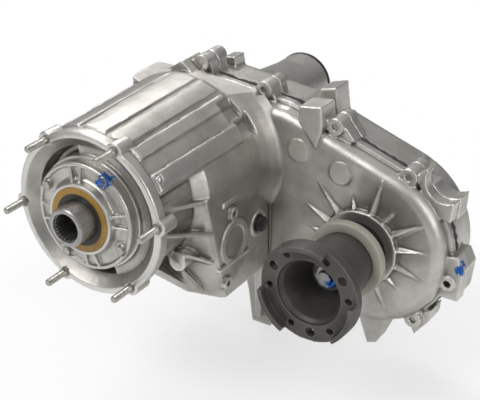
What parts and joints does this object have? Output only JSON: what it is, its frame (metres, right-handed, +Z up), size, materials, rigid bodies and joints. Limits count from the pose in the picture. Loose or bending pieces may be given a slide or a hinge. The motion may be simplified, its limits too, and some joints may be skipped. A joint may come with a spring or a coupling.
{
  "type": "transfer case",
  "caption": "Chain-driven transfer case with planetary low range, splined input hub, front output flange and slip-yoke tail.",
  "frame": {"origin": "centre of the input stud circle on the front face of the input ring", "axes": "-Y out of the input towards the gearbox, +Z up, +X towards the front output, +Y to the rear along the shafts"},
  "size_m": [0.472, 0.5315, 0.367],
  "materials": {
    "cast_aluminium": "satin",
    "cover_aluminium": "satin",
    "fork_aluminium": "satin",
    "sealant": "matt",
    "amber_seal": "satin",
    "black_seal": "satin",
    "zinc_fastener": "satin",
    "bearing_steel": "polished",
    "machined_steel": "satin",
    "chain_steel": "oiled",
    "bronze": "satin",
    "copper": "satin",
    "dark_flange": "satin",
    "dust_ring": "matt",
    "black_plug": "satin"
  },
  "bodies": {
    "case": {"front_case": "cast_aluminium", "rear_case": "cast_aluminium", "tail_housing": "cast_aluminium", "case_sealant": "sealant", "input_retainer": "cover_aluminium", "input_seal": "amber_seal", "output_seal": "black_seal", "input_studs": "zinc_fastener", "retainer_bolts": "zinc_fastener", "case_bolts": "zinc_fastener", "tail_bolts": "zinc_fastener", "input_bearing_outer": "bearing_steel", "rear_bearing_outer": "bearing_steel", "output_bearing_outer": "bearing_steel", "needle_bearing_outer": "bearing_steel", "annulus_gear": "machined_steel", "chain": "chain_steel", "shift_rail": "bearing_steel", "detent_plug": "black_plug", "fill_plug": "zinc_fastener", "drain_plug": "zinc_fastener", "gallery_ball_plug": "bearing_steel", "lug_bush": "copper", "tail_bush": "bronze", "tail_seal": "black_seal", "oil_pump": "fork_aluminium"},
    "input": {"input_gear": "machined_steel", "pilot_bush": "bronze", "input_bearing_inner": "bearing_steel"},
    "carrier": {"carrier": "machined_steel", "planet_pins": "bearing_steel"},
    "planet_a": {"planet_1": "machined_steel"},
    "planet_b": {"planet_2": "machined_steel"},
    "planet_c": {"planet_3": "machined_steel"},
    "main_shaft": {"main_shaft": "machined_steel", "mode_hub": "machined_steel", "rear_bearing_inner": "bearing_steel", "tone_ring": "machined_steel"},
    "range_collar": {"range_collar": "machined_steel"},
    "mode_sleeve": {"mode_sleeve": "machined_steel"},
    "drive_sprocket": {"drive_sprocket": "machined_steel"},
    "front_output": {"front_output_shaft": "machined_steel", "driven_sprocket": "machined_steel", "output_flange": "dark_flange", "flange_nut": "machined_steel", "flange_washer": "machined_steel", "dust_ring": "dust_ring", "output_bearing_inner": "bearing_steel", "needle_bearing_inner": "bearing_steel"},
    "range_fork": {"range_fork": "fork_aluminium"},
    "mode_fork": {"mode_fork": "fork_aluminium"},
    "selector": {"selector_shaft": "machined_steel", "selector_cam": "machined_steel"}
  },
  "joints": [
    {"name": "input_spin", "type": "hinge", "parent": "case", "child": "input", "pos_m": [0, 0, 0], "axis": [0, 1, 0], "continuous": true},
    {"name": "carrier_spin", "type": "hinge", "parent": "case", "child": "carrier", "pos_m": [0, 0, 0], "axis": [0, 1, 0], "continuous": true},
    {"name": "planet_a_spin", "type": "hinge", "parent": "carrier", "child": "planet_a", "pos_m": [0.05063, 0.066, 0], "axis": [0, 1, 0], "continuous": true},
    {"name": "planet_b_spin", "type": "hinge", "parent": "carrier", "child": "planet_b", "pos_m": [-0.02531, 0.066, 0.04384], "axis": [0, 1, 0], "continuous": true},
    {"name": "planet_c_spin", "type": "hinge", "parent": "carrier", "child": "planet_c", "pos_m": [-0.02531, 0.066, -0.04384], "axis": [0, 1, 0], "continuous": true},
    {"name": "main_shaft_spin", "type": "hinge", "parent": "case", "child": "main_shaft", "pos_m": [0, 0, 0], "axis": [0, 1, 0], "continuous": true},
    {"name": "drive_sprocket_spin", "type": "hinge", "parent": "case", "child": "drive_sprocket", "pos_m": [0, 0, 0], "axis": [0, 1, 0], "continuous": true},
    {"name": "front_output_spin", "type": "hinge", "parent": "case", "child": "front_output", "pos_m": [0.228, 0.1, -0.08], "axis": [0, 1, 0], "continuous": true},
    {"name": "selector_turn", "type": "hinge", "parent": "case", "child": "selector", "pos_m": [0.074, 0.139, -0.027], "axis": [0, 1, 0], "range_deg": [0, 90]},
    {"name": "range_fork_slide", "type": "slide", "parent": "case", "child": "range_fork", "axis": [0, 1, 0], "range_m": [0, 0.014]},
    {"name": "range_collar_slide", "type": "slide", "parent": "main_shaft", "child": "range_collar", "axis": [0, 1, 0], "range_m": [0, 0.014]},
    {"name": "mode_fork_slide", "type": "slide", "parent": "case", "child": "mode_fork", "axis": [0, 1, 0], "range_m": [-0.011, 0]},
    {"name": "mode_sleeve_slide", "type": "slide", "parent": "main_shaft", "child": "mode_sleeve", "axis": [0, 1, 0], "range_m": [-0.011, 0]}
  ],
  "couplings": [
    {"joint": "carrier_spin", "follows": "input_spin", "ratio": 0.36667},
    {"joint": "planet_a_spin", "follows": "input_spin", "ratio": -1.7417},
    {"joint": "planet_b_spin", "follows": "input_spin", "ratio": -1.7417},
    {"joint": "planet_c_spin", "follows": "input_spin", "ratio": -1.7417},
    {"joint": "main_shaft_spin", "follows": "input_spin", "ratio": 1},
    {"joint": "drive_sprocket_spin", "follows": "input_spin", "ratio": 1},
    {"joint": "front_output_spin", "follows": "input_spin", "ratio": 1},
    {"joint": "range_collar_slide", "follows": "range_fork_slide", "ratio": 1},
    {"joint": "selector_turn", "follows": "range_fork_slide", "rad_per_m": 112.2},
    {"joint": "mode_sleeve_slide", "follows": "mode_fork_slide", "ratio": 1}
  ]
}
